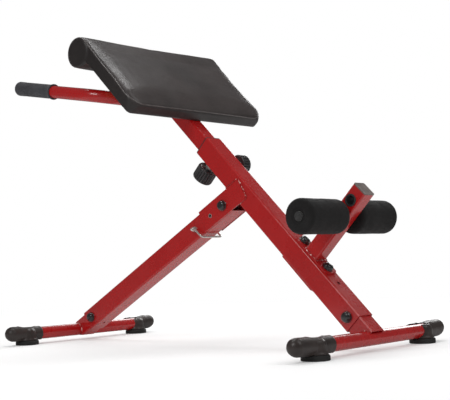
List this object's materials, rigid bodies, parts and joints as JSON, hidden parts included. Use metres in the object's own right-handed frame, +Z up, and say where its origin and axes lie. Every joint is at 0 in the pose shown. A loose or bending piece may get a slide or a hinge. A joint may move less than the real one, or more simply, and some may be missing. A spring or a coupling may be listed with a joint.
{
  "type": "roman chair",
  "caption": "Roman chair back extension bench: an inclined tube frame with a thigh pad, foam ankle rollers, forward handles and a folding front leg.",
  "frame": {"origin": "on the floor, midway between the two base bars and at the middle of the width", "axes": "+X from the handles towards the rear base, +Y across to the clamp knob's side, +Z up"},
  "size_m": [1.1944, 0.666, 0.9015],
  "materials": {
    "red_paint": "gloss powder coat",
    "vinyl": "satin, fine grain",
    "black_foam": "closed-cell foam, matte",
    "grip_foam": "matte, moulded ribs",
    "cap_plastic": "moulded, satin",
    "foot_rubber": "matte",
    "black_plastic": "matte",
    "knob_plastic": "satin, ribbed",
    "bolt_cap_plastic": "semi-gloss dome",
    "grey_plastic": "matte",
    "plated_steel": "zinc plated",
    "chrome": "polished",
    "plywood": "raw plywood"
  },
  "bodies": {
    "rear_frame": {"rear_base_bar": "red_paint", "rear_stub": "red_paint", "rear_end_cap_near": "cap_plastic", "rear_end_cap_far": "cap_plastic", "rear_foot_near": "foot_rubber", "rear_foot_far": "foot_rubber", "main_tube": "red_paint", "rear_stub_bolt": "plated_steel", "rear_stub_bolt_caps": "bolt_cap_plastic", "mast_liner": "black_plastic", "clamp_nut": "red_paint", "leg_bracket": "red_paint", "pivot_bolt": "plated_steel", "pivot_bolt_caps": "bolt_cap_plastic", "pop_pin_barrel": "plated_steel", "carriage_plate": "red_paint", "clamp_plate": "red_paint", "carriage_bolts": "plated_steel", "carriage_bolt_caps": "bolt_cap_plastic", "roller_post": "red_paint", "post_cap": "grey_plastic", "roller_axle": "plated_steel", "axle_bushes": "black_plastic", "spare_bushes": "black_plastic", "axle_plugs": "grey_plastic"},
    "near_roller": {"roller_near": "black_foam"},
    "far_roller": {"roller_far": "black_foam"},
    "front_leg": {"front_leg_tube": "red_paint", "pivot_sleeve": "plated_steel", "front_stub": "red_paint", "front_base_bar": "red_paint", "front_stub_bolt": "plated_steel", "front_stub_bolt_caps": "bolt_cap_plastic", "front_end_cap_near": "cap_plastic", "front_end_cap_far": "cap_plastic", "front_foot_near": "foot_rubber", "front_foot_far": "foot_rubber", "lock_pin": "chrome"},
    "lock_wire": {"lock_bail": "chrome"},
    "pad_post": {"pad_mast": "red_paint", "mast_glide": "black_plastic", "mast_plug": "black_plastic", "cross_plates": "red_paint", "pad_screws": "plated_steel", "pad_board": "plywood", "thigh_pad": "vinyl", "handlebar": "red_paint", "handle_saddle": "red_paint", "grip_near": "grip_foam", "grip_far": "grip_foam"},
    "pop_pin": {"pop_pin_plunger": "plated_steel", "pop_pin_knob": "knob_plastic"},
    "clamp_screw": {"clamp_stud": "plated_steel", "clamp_knob": "knob_plastic"}
  },
  "joints": [
    {"name": "near_roller_spin", "type": "hinge", "parent": "rear_frame", "child": "near_roller", "pos_m": [0.48941, 0, 0.342], "axis": [0, 1, 0], "continuous": true},
    {"name": "far_roller_spin", "type": "hinge", "parent": "rear_frame", "child": "far_roller", "pos_m": [0.48941, 0, 0.342], "axis": [0, 1, 0], "continuous": true},
    {"name": "leg_fold", "type": "hinge", "parent": "rear_frame", "child": "front_leg", "pos_m": [0.09768, 0, 0.39433], "axis": [0, -1, 0], "range_deg": [0, 103]},
    {"name": "lock_wire_swing", "type": "hinge", "parent": "front_leg", "child": "lock_wire", "pos_m": [-0.01557, -0.041, 0.33219], "axis": [-0.6394, 0, -0.7689], "range_deg": [0, 110]},
    {"name": "pad_height", "type": "slide", "parent": "rear_frame", "child": "pad_post", "axis": [-0.7071, 0, 0.7071], "range_m": [-0.075, 0.125]},
    {"name": "pop_pin_pull", "type": "slide", "parent": "rear_frame", "child": "pop_pin", "axis": [-0.7071, 0, -0.7071], "range_m": [0, 0.01], "stiffness_N_per_m": 900, "springref_m": -0.01},
    {"name": "clamp_screw_turn", "type": "hinge", "parent": "rear_frame", "child": "clamp_screw", "pos_m": [0.08728, 0, 0.51545], "axis": [0, -1, 0], "range_deg": [0, 720]}
  ]
}
